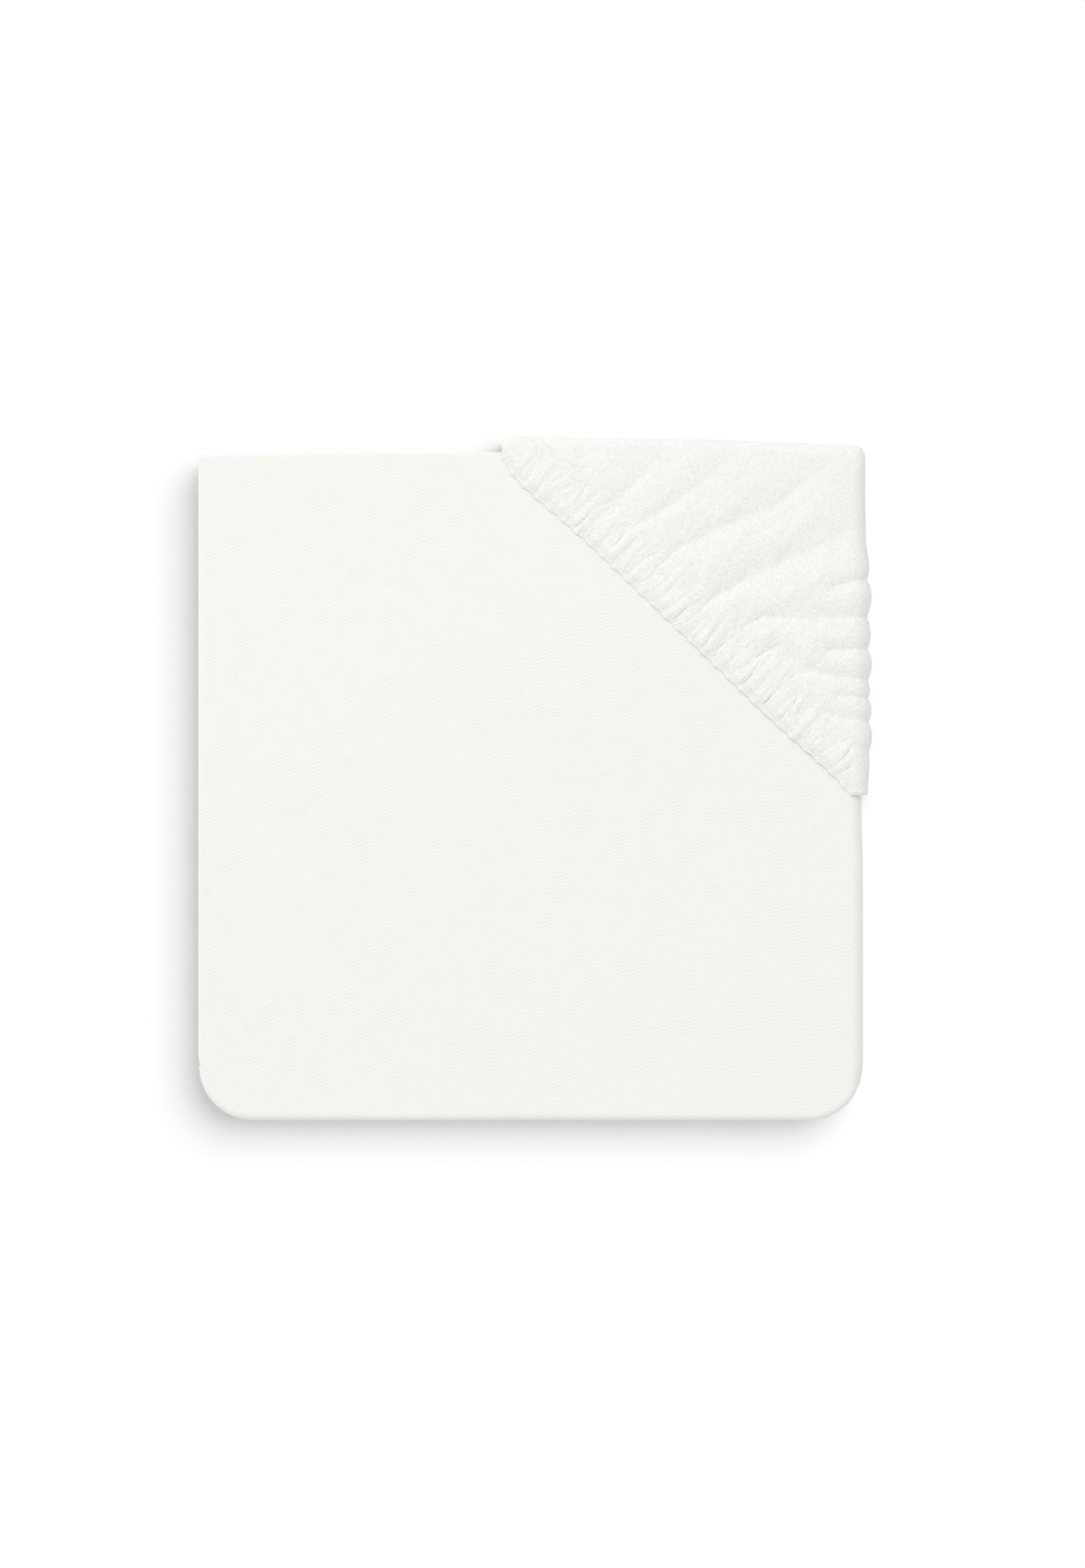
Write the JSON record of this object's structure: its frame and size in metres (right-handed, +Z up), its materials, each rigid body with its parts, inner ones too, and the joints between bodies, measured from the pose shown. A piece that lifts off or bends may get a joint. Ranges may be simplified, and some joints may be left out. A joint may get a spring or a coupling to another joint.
{
  "type": "folded changing pad cover",
  "caption": "A soft white fitted cover for a changing pad, folded into a flat square, with one gathered elastic corner turned over the stack as a pocket.",
  "frame": {"origin": "middle of the outline, on the underside that lies on the shelf", "axes": "+Z up through the folded layers, +Y towards the open back edges, +X towards the side whose back corner carries the pocket"},
  "size_m": [0.298, 0.3034, 0.0238],
  "materials": {
    "cloth": "soft brushed terry, matt, off-white, finely ribbed on the face and fluffy at the gathered corner"
  },
  "bodies": {
    "root": {"cover": "cloth"}
  },
  "joints": []
}
